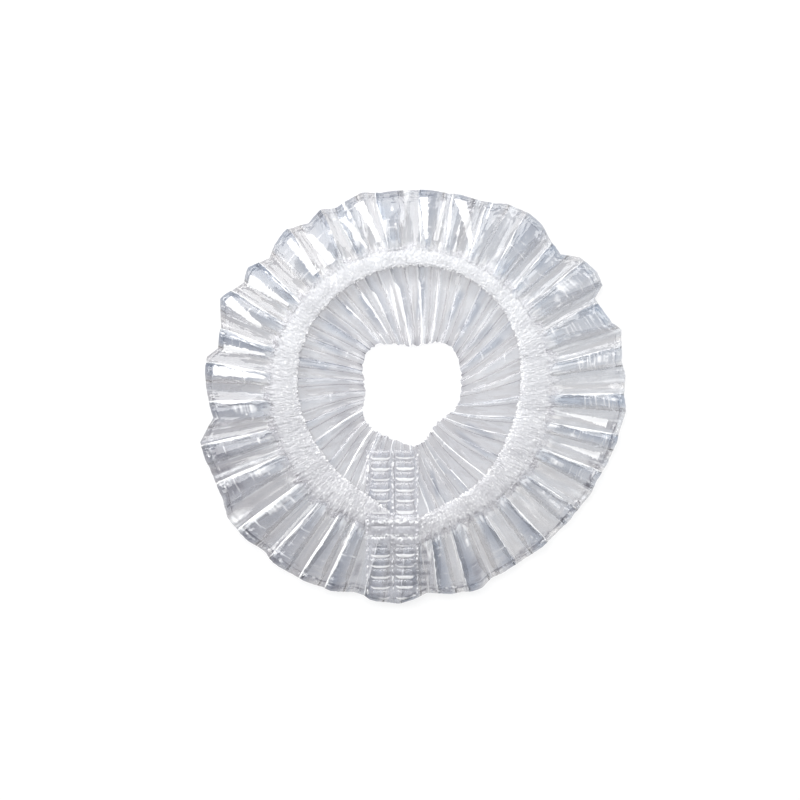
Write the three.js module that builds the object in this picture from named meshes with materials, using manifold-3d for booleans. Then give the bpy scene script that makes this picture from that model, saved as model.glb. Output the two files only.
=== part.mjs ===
// A disposable shower cap of clear pleated film, lying on its crown with the mouth up.
// Millimetres, +Z up. The origin is on the surface that it lies on, under the middle of the rim,
// and the welded seam runs along Y on the -Y side. Each panel of the skirt is hinged where the film
// folds at the rim: turning a panel's group about its own Y axis lifts the hem and widens the mouth.

import * as THREE from "three";
import { mergeVertices } from "three/addons/utils/BufferGeometryUtils.js";
import Module from "manifold-3d";

const wasm = await Module();
wasm.setup();

// Driving dimensions
const RIM_RADIUS = 135; // mean reach of the folded rim at its pleat ridges
const RIM_CURL = 11; // how far the curl of the rim reaches past the line where the panels turn
const RIM_NOSE = 2; // how far the curl's edge stands out from its underside
const SCALLOP_DEPTH = 1.2; // how far the rim draws in between two ridges
const MOUTH_RADIUS = 77.5; // mean inner edge of the hem with the elastic at rest
const MOUTH_LIFT = 4.2; // room between the crown's weld and the underside of the hem
const HOLE_RADIUS = 32; // mean radius of the gathered hole in the middle of the crown
const FILM = 0.4; // film thickness
const CROWN_PLEAT = 1.8; // pleat heights, trough to ridge
const SKIRT_PLEAT = 2.4;
const RIM_PLEAT = 2.2;
const HEM_PLEAT = 1.6;
const HEM_RIPPLE = 0.4;
const RIM_LIFT = 2.2; // height of the skirt's troughs over the crown's weld, at the rim
const SKIRT_LIFT = 4.9; // and halfway to the hem
const ELASTIC_WIDTH = 11;
const ELASTIC_THICKNESS = 1.2;
const HEM_MARGIN = 2; // film beyond each edge of the elastic
const FLAP_MARGIN = 2.5; // how far the lap of two panels stops short of the hem
const LAP_GAP = 0.72; // room between two panels where they lap
const WELD_WIDTH = 34;
const WELD_OFFSET = -13.5; // X of the middle of the weld
const WELD_SHEET = 0.4; // thickness of the welded strip
const WELD_RIB = 0.6; // height of its embossed rails and rungs
const RAIL_WIDTH = 2;
const RUNG_WIDTH = 1.6;
const RUNG_PITCH = 6;
const WELD_MARGIN = 4; // how far the weld stops short of the hole, the rim and the hem
const CLEARANCE = 0.3;
const SEAM_DEGREES = -97; // where the panel under the weld turns
const CROWN_TWIST_DEGREES = -12; // how far the crown's pleats turn on their way from the rim to the hole
const RIDGE_SHARE = 0.64; // width of a pleat's flat top, as a share of its foot

// Waves of the cap's rings about their mean radii: turns, height and the angle of a crest in degrees
const RIM_WAVES = [[1, 1.6, 168], [2, 4.6, 33.5], [3, 0.9, -1], [4, 1.2, 43], [5, 1, -5]];
const HEM_WAVES = [[1, 6, 118], [2, 1.8, 90]];
const MOUTH_WAVES = [[1, 6.8, 106], [2, 4.2, 90]];
const HOLE_WAVES = [[1, 4.5, 90]];

// The raised pleats of each panel, from the seam and against the clock: the middle in degrees on the
// clock's face, and the width in degrees
const PANEL_PLEATS = [
  [[191, 6], [180.5, 6]], [[170, 5.5], [160.5, 7]], [[151.7, 6.5], [140, 6]], [[127.2, 6]],
  [[114.4, 5.6], [102.8, 4.6]], [[91.5, 5], [79, 5.4]], [[67.2, 8.6]], [[55.5, 8.2], [45, 5.8]],
  [[35.5, 7.6], [23.9, 6]], [[14.4, 6.6], [5.3, 7.2]], [[353.3, 7.8], [341, 7.2]],
  [[330, 7.6], [319.4, 8]], [[307.8, 6.8], [297.2, 6.4]], [[287, 5.4], [277, 5.4]], [[265, 7.6]],
  [[254.4, 5.6], [242.8, 7]], [[229.7, 6.6], [218.9, 6]], [[209.4, 6], [202.2, 5.6]],
];

// Angles
const radians = THREE.MathUtils.degToRad;
const PANELS = PANEL_PLEATS.length;
const PANEL_TURN = (2 * Math.PI) / PANELS;
const SEAM_ANGLE = radians(SEAM_DEGREES);
const CROWN_TWIST = radians(CROWN_TWIST_DEGREES);

// Heights
const crownRidge = FILM + CROWN_PLEAT;
const weldHeight = WELD_SHEET + WELD_RIB;
const crownWeldTop = crownRidge + CLEARANCE + weldHeight;
const rimFloor = crownWeldTop + RIM_LIFT;
const skirtFloor = crownWeldTop + SKIRT_LIFT;
const hemFloor = crownWeldTop + MOUTH_LIFT;
const elasticBottom = hemFloor + HEM_RIPPLE + FILM / 2 + CLEARANCE;
const hemRoof = elasticBottom + ELASTIC_THICKNESS + CLEARANCE + FILM / 2;
const lapStep = FILM + LAP_GAP; // rise of a panel at a side that laps over the next panel
const lipFloor = rimFloor + lapStep / 2;
const hingeHeight = rimFloor + RIM_PLEAT + lapStep + FILM / 2;

// Radii
const lipRadius = RIM_RADIUS - RIM_CURL;
const panelRadius = lipRadius - CLEARANCE;
const hingeRadius = lipRadius - CLEARANCE / 2;
const elasticRadius = MOUTH_RADIUS + HEM_MARGIN + CLEARANCE;
const hemRadius = elasticRadius + ELASTIC_WIDTH + HEM_MARGIN;
const flapRadius = hemRadius + FLAP_MARGIN;
const skirtRadius = (panelRadius + flapRadius) / 2;

// The neighbouring hems keep clear of each other by this angle on each side.
const hemGap = CLEARANCE / MOUTH_RADIUS;
const sliver = hemGap / 4;

const film = new THREE.MeshStandardMaterial({
  color: 0xd8dbe2, roughness: 0.15, metalness: 0, transparent: true, opacity: 0.4,
});
const elastic = new THREE.MeshStandardMaterial({ color: 0xf2f2f0, roughness: 0.7, metalness: 0 });
const weld = new THREE.MeshStandardMaterial({
  color: 0xe6e8ec, roughness: 0.25, metalness: 0, transparent: true, opacity: 0.6,
});

const mix = THREE.MathUtils.lerp;
const clamp = THREE.MathUtils.clamp;

function wave(waves, angle) {
  return waves.reduce((sum, [turns, height, crest]) => {
    return sum + height * Math.cos(turns * (angle - radians(crest)));
  }, 0);
}

// A point at a mean radius, an angle and a height, moved out or in by the waves of the rings that
// it lies between. The line where the panels turn is round.
const rings = [
  { radius: HOLE_RADIUS, waves: HOLE_WAVES },
  { radius: MOUTH_RADIUS, waves: MOUTH_WAVES },
  { radius: hemRadius, waves: HEM_WAVES },
  { radius: panelRadius, waves: [] },
  { radius: lipRadius, waves: [] },
  { radius: lipRadius + RIM_CURL / 2, waves: RIM_WAVES },
];

function polar(radius, angle, height) {
  let reach = radius + wave(rings[0].waves, angle);
  for (let i = 1; i < rings.length; i++) {
    const [inner, outer] = [rings[i - 1], rings[i]];
    const share = clamp((radius - inner.radius) / (outer.radius - inner.radius), 0, 1);
    reach += share * (wave(outer.waves, angle) - wave(inner.waves, angle));
  }
  return new THREE.Vector3(reach * Math.cos(angle), reach * Math.sin(angle), height);
}

// Pleats round the cap, against the clock from the seam: the angles of foot, top, top and foot
const pleatCorners = [-1, -RIDGE_SHARE, RIDGE_SHARE, 1];
const pleatHeights = [0, 1, 1, 0];
const pleats = PANEL_PLEATS.map((panel) => panel.map(([clock, width]) => {
  const turns = clock > 90 - SEAM_DEGREES + 180 / PANELS ? 1 : 0;
  const middle = radians(90 - clock) + 2 * Math.PI * turns;
  return pleatCorners.map((corner) => middle + (corner * radians(width)) / 2);
}));

// Pleats of the panel at an index, which may be past the last one or before the first
function panelPleats(index) {
  const turns = Math.floor(index / PANELS);
  const shift = (angle) => angle + 2 * Math.PI * turns;
  return pleats[index - turns * PANELS].map((corners) => corners.map(shift));
}

// A line of (radius, height) points moved sideways, to the left of its way inwards.
function offsetLine(line, distance) {
  const steps = [];
  for (let i = 1; i < line.length; i++) {
    steps.push(new THREE.Vector2().subVectors(line[i], line[i - 1]).normalize());
  }
  return line.map((point, i) => {
    const before = steps[Math.max(i - 1, 0)];
    const after = steps[Math.min(i, steps.length - 1)];
    const side = new THREE.Vector2(before.y + after.y, -before.x - after.x);
    return side.multiplyScalar(distance / (1 + before.dot(after))).add(point);
  });
}

// Splits the four-cornered face at an index along its other diagonal. The two broad sides of a film
// are split along the same diagonals, so that it keeps its thickness where it twists.
function flipDiagonal(geometry, at) {
  const face = geometry.index.array.subarray(at, at + 6);
  const [a, b, d] = face;
  const c = face.find((corner) => ![a, b, d].includes(corner));
  face.set([a, b, c, a, c, d]);
}

// A slab with columns and rows of faces, each corner put where place() says.
function slab(columns, rows, place) {
  const geometry = new THREE.BoxGeometry(1, 1, 1, columns, rows, 1);
  const underside = geometry.groups[5];
  for (let at = underside.start; at < underside.start + underside.count; at += 6) {
    flipDiagonal(geometry, at);
  }
  const position = geometry.attributes.position;
  for (let i = 0; i < position.count; i++) {
    const column = Math.round((position.getX(i) + 0.5) * columns);
    const row = Math.round((position.getY(i) + 0.5) * rows);
    const point = place(column, row, Math.sign(position.getZ(i)));
    position.setXYZ(i, point.x, point.y, point.z);
  }
  return geometry;
}

// Crown film: pleats out to the rim, where the film curls up and back to the line where panels turn.
function crownLine(height) {
  const floor = FILM / 2 + CROWN_PLEAT * height;
  const lip = lipFloor + RIM_PLEAT * height;
  const edge = RIM_RADIUS - FILM / 2 - SCALLOP_DEPTH * (1 - height);
  return [
    new THREE.Vector2(HOLE_RADIUS, floor),
    new THREE.Vector2(edge - RIM_NOSE, floor),
    new THREE.Vector2(edge, (floor + lip) / 2),
    new THREE.Vector2(lipRadius, lip),
  ];
}

function crownOutline(height) {
  const line = crownLine(height);
  const outer = offsetLine(line, -FILM / 2);
  const inner = offsetLine(line, FILM / 2).reverse();
  const outline = [...inner, ...outer];
  return [...outline, outline[0]].reverse();
}

function crownGeometry() {
  const corners = pleats.flat(2);
  const outlines = [0, 1].map(crownOutline);
  const points = outlines[0].length;
  const geometry = new THREE.LatheGeometry(outlines[0], corners.length);
  const position = geometry.attributes.position;
  for (let i = 0; i < position.count; i++) {
    const ray = Math.floor(i / points) % corners.length;
    const { x, y } = outlines[pleatHeights[ray % pleatHeights.length]][i % points];
    const inward = clamp((lipRadius - x) / (lipRadius - HOLE_RADIUS), 0, 1);
    const point = polar(x, corners[ray] + CROWN_TWIST * inward, y);
    position.setXYZ(i, point.x, point.y, point.z);
  }
  const faces = points - 1;
  for (let i = 0; i < geometry.index.count / 6; i++) {
    if (i % faces < faces / 2) {
      flipDiagonal(geometry, 6 * i);
    }
  }
  return geometry;
}

// Rows of a panel, from the rim over the skirt and round the hem: the top of the hem, its inner
// face at the mouth, its underside and the turned-in edge that closes it behind the elastic.
const skirtRows = [
  { radius: panelRadius, floor: rimFloor, pleat: RIM_PLEAT },
  { radius: skirtRadius, floor: skirtFloor, pleat: SKIRT_PLEAT },
  { radius: flapRadius, floor: hemRoof, pleat: HEM_PLEAT },
];
const hemRows = [
  { radius: hemRadius, floor: hemRoof, pleat: HEM_PLEAT },
  { radius: MOUTH_RADIUS + FILM / 2, floor: hemRoof, pleat: HEM_RIPPLE },
  { radius: MOUTH_RADIUS + FILM / 2, floor: hemFloor, pleat: HEM_RIPPLE },
  { radius: hemRadius - HEM_MARGIN / 2, floor: hemFloor, pleat: HEM_RIPPLE },
  { radius: hemRadius, floor: hemRoof - FILM - CLEARANCE, pleat: HEM_PLEAT },
];
const panelRows = [...skirtRows, ...hemRows];

function panelAngle(index) {
  return SEAM_ANGLE + index * PANEL_TURN;
}

// A panel ends in the middle of the trough between its last pleat and the next panel's first.
function panelEnd(index) {
  const last = panelPleats(index).at(-1);
  const next = panelPleats(index + 1)[0];
  return (last.at(-1) + next[0]) / 2;
}

// Where two panels meet, the one that turns farther from there laps over the other, so that they
// draw apart as they lift. At the seam there is no lap.
function lapsNext(index) {
  const middle = (panelAngle(index) + panelAngle(index + 1)) / 2;
  return index !== PANELS - 1 && panelEnd(index) >= middle;
}

function lapsBefore(index) {
  return index !== 0 && !lapsNext(index - 1);
}

// The rise across a panel that lets it lap over its neighbours.
function lapRise(index, angle) {
  const [start, end] = [panelEnd(index - 1), panelEnd(index)];
  const [first, last] = [lapsBefore(index), lapsNext(index)].map((laps) => (laps ? lapStep : 0));
  return mix(first, last, clamp((angle - start) / (end - start), 0, 1));
}

// Angles and pleat heights across a panel, with its laps over the flanks of the next pleats
function panelColumns(index) {
  const columns = [{ angle: panelEnd(index - 1), height: 0 }];
  for (const corners of panelPleats(index)) {
    corners.forEach((angle, i) => columns.push({ angle, height: pleatHeights[i] }));
  }
  columns.push({ angle: panelEnd(index), height: 0 });
  if (lapsBefore(index)) {
    const [, , top, foot] = panelPleats(index - 1).at(-1);
    columns.unshift({ angle: top, height: 1 }, { angle: foot, height: 0 });
  }
  if (lapsNext(index)) {
    const [foot, top] = panelPleats(index + 1)[0];
    columns.push({ angle: foot, height: 0 }, { angle: top, height: 1 });
  }
  return columns;
}

function panelGeometry(index) {
  const columns = panelColumns(index);
  const last = columns.length - 1;
  const start = panelEnd(index - 1) + hemGap;
  const end = panelEnd(index) - hemGap;
  const angleAt = (column, row) => {
    const lapped = row < skirtRows.length;
    const lowest = lapped && index !== 0 ? -Infinity : start + column * sliver;
    const highest = lapped && index !== PANELS - 1 ? Infinity : end - (last - column) * sliver;
    return clamp(columns[column].angle, lowest, highest);
  };
  return slab(last, panelRows.length - 1, (column, row, side) => {
    const line = panelRows.map((each, i) => {
      const rise = lapRise(index, angleAt(column, i));
      return new THREE.Vector2(each.radius, each.floor + each.pleat * columns[column].height + rise);
    });
    const { x, y } = offsetLine(line, (side * FILM) / 2)[row];
    return polar(x, angleAt(column, row), y);
  });
}

function elasticGeometry(index) {
  const columns = 4;
  const [start, end] = [panelEnd(index - 1) + hemGap, panelEnd(index) - hemGap];
  return slab(columns, 1, (column, row, side) => {
    const angle = mix(start, end, column / columns);
    const height = elasticBottom + (side > 0 ? ELASTIC_THICKNESS : 0) + lapRise(index, angle);
    return polar(elasticRadius + (1 - row) * ELASTIC_WIDTH, angle, height);
  });
}

// Welded strip: a thin plate with three rails and a ladder of rungs, along +Y from its outer end.
function solid(geometry) {
  const bare = geometry.clone();
  bare.deleteAttribute("normal");
  bare.deleteAttribute("uv");
  const merged = mergeVertices(bare);
  const vertProperties = new Float32Array(merged.attributes.position.array);
  const triVerts = new Uint32Array(merged.index.array);
  return new wasm.Manifold(new wasm.Mesh({ numProp: 3, vertProperties, triVerts }));
}

function bar(width, length, height, x, y) {
  return solid(new THREE.BoxGeometry(width, length, height).translate(x, y, height / 2));
}

function weldGeometry(length) {
  const rungs = Math.max(2, Math.round((length - RUNG_WIDTH) / RUNG_PITCH));
  const pitch = (length - RUNG_WIDTH) / rungs;
  const railPlace = (WELD_WIDTH - RAIL_WIDTH) / 2;
  let strip = bar(WELD_WIDTH, length, WELD_SHEET, 0, length / 2);
  for (const x of [-railPlace, 0, railPlace]) {
    strip = strip.add(bar(RAIL_WIDTH, length, weldHeight, x, length / 2));
  }
  for (let i = 0; i <= rungs; i++) {
    strip = strip.add(bar(WELD_WIDTH, RUNG_WIDTH, weldHeight, 0, RUNG_WIDTH / 2 + i * pitch));
  }
  const mesh = strip.getMesh();
  const geometry = new THREE.BufferGeometry();
  geometry.setAttribute("position", new THREE.BufferAttribute(mesh.vertProperties, 3));
  geometry.setIndex(new THREE.BufferAttribute(mesh.triVerts, 1));
  geometry.computeVertexNormals();
  return geometry;
}

function piece(name, geometry, material) {
  const mesh = new THREE.Mesh(geometry, material);
  mesh.name = name;
  return mesh;
}

function crownWeld() {
  const corner = Math.abs(WELD_OFFSET) + WELD_WIDTH / 2;
  const reach = lipRadius - WELD_MARGIN;
  const start = -Math.sqrt(reach ** 2 - corner ** 2);
  const end = polar(HOLE_RADIUS + WELD_MARGIN, SEAM_ANGLE, 0).y;
  const mesh = piece("seam_weld_crown", weldGeometry(end - start), weld);
  mesh.position.set(WELD_OFFSET, start, crownRidge + CLEARANCE);
  return mesh;
}

// The skirt's weld lies on the ridges of the seam panel, in the plane that rises from the rim to the
// hem, and is turned in that plane to run along Y. Here +Y is the panel's way inwards.
function skirtWeld() {
  const turn = SEAM_ANGLE + Math.PI / 2;
  const up = new THREE.Vector3(0, 0, 1);
  const ridge = (row) => {
    const point = polar(row.radius, SEAM_ANGLE, row.floor + row.pleat);
    return point.applyAxisAngle(up, -turn);
  };
  const [rim, middle, hem] = skirtRows.map(ridge);
  const slope = Math.atan2(hem.z - rim.z, hem.y - rim.y);
  const bulge = Math.max(0, middle.z - mix(rim.z, hem.z, (middle.y - rim.y) / (hem.y - rim.y)));
  const raise = bulge + lapStep + FILM / 2 + CLEARANCE / Math.cos(slope);
  const swing = (WELD_WIDTH / 2) * Math.abs(Math.sin(turn));
  const run = hem.y - rim.y - 2 * swing - WELD_MARGIN / 2;
  const mesh = piece("seam_weld_skirt", weldGeometry(run / Math.cos(slope)), weld);
  const outerEnd = new THREE.Vector3(WELD_OFFSET, rim.y, 0).applyAxisAngle(up, -turn);
  const inset = swing + WELD_MARGIN / 4;
  mesh.position.set(outerEnd.x, rim.y + inset, rim.z + raise + inset * Math.tan(slope));
  mesh.rotation.set(slope, 0, -turn);
  mesh.applyMatrix4(new THREE.Matrix4().makeRotationZ(turn));
  return mesh;
}

function buildCap() {
  const cap = new THREE.Group();
  cap.add(piece("crown_film", crownGeometry(), film), crownWeld());
  for (let index = 0; index < PANELS; index++) {
    const number = String(index + 1).padStart(2, "0");
    const angle = panelAngle(index);
    const hinge = new THREE.Group();
    hinge.position.set(hingeRadius * Math.cos(angle), hingeRadius * Math.sin(angle), hingeHeight);
    hinge.rotation.set(0, 0, angle, "ZYX");
    hinge.updateMatrix();
    const toHinge = hinge.matrix.clone().invert();
    hinge.add(piece(`pleat_panel_${number}`, panelGeometry(index).applyMatrix4(toHinge), film));
    hinge.add(piece(`elastic_${number}`, elasticGeometry(index).applyMatrix4(toHinge), elastic));
    if (index === 0) {
      const strip = skirtWeld();
      strip.applyMatrix4(toHinge);
      hinge.add(strip);
    }
    cap.add(hinge);
  }
  return cap;
}

export default buildCap();
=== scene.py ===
"""A disposable shower cap of clear pleated film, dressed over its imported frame.

The crown film, the skirt's pleats, the gathered hem, the elastic and the welded seam are built here as
sheets of film in the frame's own coordinates. Lengths are in millimetres until a mesh is made. Places round
the cap are in degrees of the clock's face where they were read from the photograph.
"""

import math
from types import SimpleNamespace

import bpy
import numpy as np
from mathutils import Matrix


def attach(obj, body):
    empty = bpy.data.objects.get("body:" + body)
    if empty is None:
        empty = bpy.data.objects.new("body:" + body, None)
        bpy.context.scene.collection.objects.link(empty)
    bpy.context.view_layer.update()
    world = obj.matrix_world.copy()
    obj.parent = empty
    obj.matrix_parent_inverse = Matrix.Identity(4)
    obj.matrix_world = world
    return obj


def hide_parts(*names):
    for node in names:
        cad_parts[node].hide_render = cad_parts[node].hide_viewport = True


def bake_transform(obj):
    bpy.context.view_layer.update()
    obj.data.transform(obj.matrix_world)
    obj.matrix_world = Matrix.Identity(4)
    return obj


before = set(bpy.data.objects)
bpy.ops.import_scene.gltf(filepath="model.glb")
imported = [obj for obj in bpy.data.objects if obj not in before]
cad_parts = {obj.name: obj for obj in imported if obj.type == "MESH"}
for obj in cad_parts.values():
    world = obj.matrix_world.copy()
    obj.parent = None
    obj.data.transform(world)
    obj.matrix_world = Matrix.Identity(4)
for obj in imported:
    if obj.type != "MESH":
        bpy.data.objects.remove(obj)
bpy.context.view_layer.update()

MM = 0.001
NOISE_SIZE = 64

# Layout of the cap, as in the frame
PANELS = 18
PANEL_TURN = 2 * math.pi / PANELS
SEAM_ANGLE = math.radians(-97)
RIM_EDGE = 134.8

# The rim's fold, at the level of the pleats' troughs, and the degrees through which the film turns there
RIM_RADIUS = 134.0
RIM_CURL = 3.0
RIM_BOTTOM = 0.9
RIM_TOP = 5.6
RIM_TURN = (-100, 90)
RIM_ROWS = 15

# The skirt, whose rows are finer near the rim
HEM_FILM_RADIUS = 89.0
HEM_FILM_HEIGHT = 10.4
SKIRT_LENGTH = RIM_RADIUS - RIM_CURL - HEM_FILM_RADIUS
SKIRT_DOME = 1.0
FINE_LENGTH = 24
FINE_STEP = 0.7
COARSE_STEP = 1.2
FOLD_RADIUS = 0.5
RIM_RELIEF = 0.35

# A trough's shape, as shares of its width and of its depth
TROUGH_SHAPE = [(0.12, 0), (0.31, 0.7), (0.5, 1), (0.69, 0.7), (0.88, 0)]

# Bands across a pleat: the trough, the film folded under a strip, and the strip's top
TROUGH_BAND = 0.1
UNDER_BAND = 0.3
TOP_BAND = 0.9

# The crown, which goes under the hem at a radius, over a span
CROWN_TWIST = math.radians(-12)
CROWN_FINE_ROWS = 40
CROWN_COARSE_ROWS = 16
CROWN_FLOOR = 0.6
COVER_RADIUS = 76
COVER_SPAN = 8

# Clock degrees of the light by which painted highlights whiten the edges of the strips, and of the parts of
# the cap that are whitest with painted highlight, have the most painted glints, are greyest with painted
# shade, are bluest with painted reflection and are plainest, with fewest painted highlights
WINDOW_CLOCK = 335
BRIGHT_CLOCK = 340
GLINT_CLOCK = 85
SHADE_CLOCK = 245
BLUE_REFLECTION_CLOCK = 50
CROWN_BRIGHT_CLOCK = 345
CROWN_SHADE_CLOCK = 285
CROWN_PLAIN_CLOCK = 42
HEM_BRIGHT_CLOCK = 12

# Patches of painted highlight and of painted shade on the skirt, as clock degrees, distance from the rim, half
# length and half width
HIGHLIGHT_PATCHES = [
    (54, 15, 6, 5), (78.5, 10, 5, 3), (87, 7, 6, 3), (114.6, 26, 6, 2.5), (120, 14, 6, 3),
    (131, 16, 4, 3), (159.6, 28, 4, 1.5), (232, 22, 8, 5), (244, 25, 8, 3), (266, 22, 9, 4),
]
# Painted shade patches
SHADE_PATCHES = [
    (97.7, 5, 4, 4), (110, 5, 4, 3), (159.4, 10, 6, 4), (197.9, 13, 5, 2), (234.5, 4, 3.5, 3.5),
    (243.3, 6, 5, 4), (248.3, 5, 4, 2.5), (254, 6, 5, 4),
]

# Painted blue reflections on the crown, in the same numbers, but as distances from the middle
BLUE_REFLECTION_PATCHES = [
    (4.3, 57, 10, 2), (25, 58, 9, 2), (35.6, 55, 11, 2), (48, 52, 12, 2), (57, 58, 8, 2),
    (117, 56, 10, 2), (128, 57, 13, 2), (166, 60, 9, 1.5), (289, 64, 8, 2.6), (302, 59, 10, 2.6),
    (313.7, 60, 11, 2.4), (324, 64, 5, 2), (334, 58, 10, 2.6),
]

# Wedges of painted highlight on the skirt: clock degrees at both ends, distances of the ends from the rim and
# half widths
HIGHLIGHT_WEDGES = [
    (277.6, 277.6, 3, 38, 3, 0.6), (284.4, 286, 2, 34, 2.4, 0.6), (297.8, 294.8, 1, 27, 3, 1.2),
    (305.5, 306.4, 1, 35, 3.6, 0.6), (321.6, 322, 4, 34, 1.6, 2.6), (327.4, 328, 7, 34, 1.8, 4.2),
    (338.4, 342.7, 7, 35, 1.8, 0.5), (344.4, 347.6, 3, 33, 3, 1), (3, 4.7, 3, 33, 2.4, 0.8),
    (9.3, 8.2, 3, 33, 0.9, 1.4), (13.5, 21.3, 1, 32, 4, 0.8), (95.9, 97.8, 35, 6, 0, 2.4),
    (107.5, 107.7, 30, 4, 0, 2.2),
]

# Strips of each panel, as clock degrees of the middle and width in degrees at the rim
PANEL_STRIPS = [
    [(191, 6), (180.5, 6)], [(170, 5.5), (160.5, 7)], [(151.7, 6.5), (140, 6)], [(127.2, 6)],
    [(114.4, 5.6), (102.8, 4.6)], [(91.5, 5), (79, 5.4)], [(67.2, 8.6)], [(55.5, 8.2), (45, 5.8)],
    [(35.5, 7.6), (23.9, 6)], [(14.4, 6.6), (5.3, 7.2)], [(353.3, 7.8), (341, 7.2)],
    [(330, 7.6), (319.4, 8)], [(307.8, 6.8), (297.2, 6.4)], [(287, 5.4), (277, 5.4)], [(265, 7.6)],
    [(254.4, 5.6), (242.8, 7)], [(229.7, 6.6), (218.9, 6)], [(209.4, 6), (202.2, 5.6)],
]

# Rings of the cap: mean radius, then the waves round it as turns, height and angle of a crest
HOLE_RING = (32.8, [(1, 5.5, 114), (2, 2, 54), (3, 2.2, 23.5), (4, 1.2, 42), (5, 2.2, -13)])
MOUTH_RING = (74.5, [(1, 7.9, 101), (2, 3.4, 90), (3, 1.8, 46)])
HEM_RING = (90.0, [(1, 5.1, 110)])
ELASTIC_INNER_RING = (77.5, [(1, 6.8, 106), (2, 4.2, 90)])
ELASTIC_OUTER_RING = (92.8, [(1, 6, 118), (2, 1.8, 90)])

# The stiff seam holds the film of the mouth and the hem out by this much, over this many degrees
SEAM_BULGE = 8.0
SEAM_BULGE_CLOCK = 183
SEAM_BULGE_SPAN = 13

# The rim's outline, as clock degrees and radius
OUTLINE = [
    (0, 134.4), (10, 134.2), (16, 134.4), (23, 136), (26, 139.5), (32, 141), (37, 139.2), (42, 134.8),
    (46, 132.9), (50, 141.5), (56, 144), (59.5, 142.5), (61.5, 134.6), (64, 134.5), (69.5, 137.4),
    (72, 142.4), (80, 137), (84, 138.9), (90, 136.9), (94, 138.6), (100, 135.7), (109, 133.6),
    (114, 130.6), (118, 131.6), (126, 129.2), (140, 128), (150, 127.5), (157, 128.3), (160, 131.5),
    (164, 131.5), (176, 127.4), (180, 131), (184, 134.6), (192, 134.3), (194, 132.4), (197, 132.5),
    (202, 135.9), (214, 139.4), (221, 140.6), (224, 139.2), (230, 142.2), (237, 144), (242, 139.6),
    (251, 140), (258, 141.5), (264, 129.9), (272, 134.4), (281, 136.5), (284, 130.4), (290, 132.6),
    (297, 140.2), (304, 132.6), (308, 136), (314, 129.6), (318, 133.6), (323, 136.2), (329, 131.3),
    (334, 135.6), (338, 132.2), (346, 137), (351, 133.8),
]

# The hem: radius and height round its section, the angle by which it runs on inside the next panel's hem,
# and the radii of two bands of painted highlight in it
HEM_SECTION = [
    (94, 11), (90.5, 11.6), (84, 12), (78, 11.8), (75, 11.2), (74.2, 10.2), (75, 9), (78, 8.3), (84, 8.1),
    (87.5, 8.5),
]
HEM_SAMPLES = 8
HEM_COLUMNS = 130
HEM_MIDDLE = 84
HEM_TUCK = math.radians(5)
HEM_BANDS = (77, 87)

# The elastic: radius and height round its section, their middles, and its ribs
ELASTIC_SECTION = [
    (80, 8.9), (79.8, 9.4), (80.1, 9.9), (85.3, 10), (90.5, 9.9), (90.8, 9.4), (90.5, 8.9), (85.3, 8.8),
    (80, 8.9),
]
ELASTIC_COLUMNS = 75
ELASTIC_MIDDLE = 85.3
ELASTIC_LEVEL = 9.4
RIB_PITCH = 1.6
RIB_HEIGHT = 0.03

# The welded seam: two columns of cells between three rails, crossed by the two edges of the hem
WELD_OFFSET = -13.5
WELD_WIDTH = 34.0
LADDER_ROWS = 180
LADDER_COLUMNS = 100
CELL_PITCH = 6.9
CELL_HALF = 6.4
CELL_EDGE = 0.95
RAILS = (-15.6, 0.5, 16.4)
HEM_EDGES = (-79.5, -89.5)
HEM_CROSSING = (-97, -78)

# Where the crown's ladder lies, and where it bends aside under the skirt
CROWN_LADDER_ENDS = (-122, -34)
CROWN_LADDER_HEIGHT = 3.0
BEND_Y = -102
BEND_SPAN = 10
BEND_SHIFT = 10.0

# Where the skirt's ladder starts and ends, and its height at distances from its start
LADDER_INSET = 1.5
LADDER_RIM_Y = -130
SKIRT_LADDER_END = -74
SKIRT_LADDER_HEIGHTS = [
    (0, 5.0), (2, 8.6), (7, 9.9), (24, 12.2), (45, 13.4), (53, 13.8), (58, 13.6), (62, 12.4),
]

# Looks of the film, which is clear up to a gleam, and white once its gleam is higher by a span. The gleam
# paints highlights, and on the hem white grain too. The dark tint paints shade, and makes the crown greyer
# overall
CLEAR_GLEAM = 0.36
WHITE_GLEAM = 0.26
FROST_AND_HIGHLIGHT_WHITE = (0.84, 0.84, 0.85)
FROST_AND_HIGHLIGHT_MOST = 0.95
DARK_TINT_AND_SHADE = (0.34, 0.335, 0.38)
VEIL_MOST = 0.6
FILM_SHEEN = 0.12
HEM_SHEEN = 0.08
WELD_SHEEN = 0.1
FILM_BUMP = 0.0004
ELASTIC_BUMP = 0.0003
ELASTIC_COLOURS = ((0.6, 0.6, 0.62), (0.74, 0.74, 0.75))

# The floor, in metres, and how much of what is seen of it is its own light
FLOOR_HALF = 4.0
FLOOR_DROP = 0.0005
FLOOR_PAINT = (0.9, 0.9, 0.9)
FLOOR_GLOW = 1.04
FLOOR_GLOW_SHARE = 0.75

# Softboxes: name, clock degrees, degrees from straight up, distance and size in metres, brightness, colour
WHITE_LIGHT = (1.0, 1.0, 1.0)
SKY_LIGHT = (0.8, 0.9, 1.0)
SOFTBOXES = [
    ("window", 325, 38, 1.4, (1.7, 1.0), 4.2, WHITE_LIGHT),
    ("east", 50, 52, 1.4, (1.0, 0.7), 4.0, WHITE_LIGHT),
    ("west", 290, 58, 1.4, (0.8, 0.6), 4.0, WHITE_LIGHT),
    ("sky", 0, 0, 2.4, (0.9, 0.9), 1.6, SKY_LIGHT),
]

# Camera: the photograph looks straight down, and shows 0.6475 mm of the cap in a pixel
MM_PER_PIXEL = 0.6475
FRAME_PIXELS = 800
CAP_PIXEL = (413, 397)
CAMERA_DISTANCE = 1200.0
SENSOR = 36.0


# Small tools

def smooth(x):
    """A soft step from 0 to 1."""
    x = np.clip(x, 0, 1)
    return x * x * (3 - 2 * x)


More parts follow.
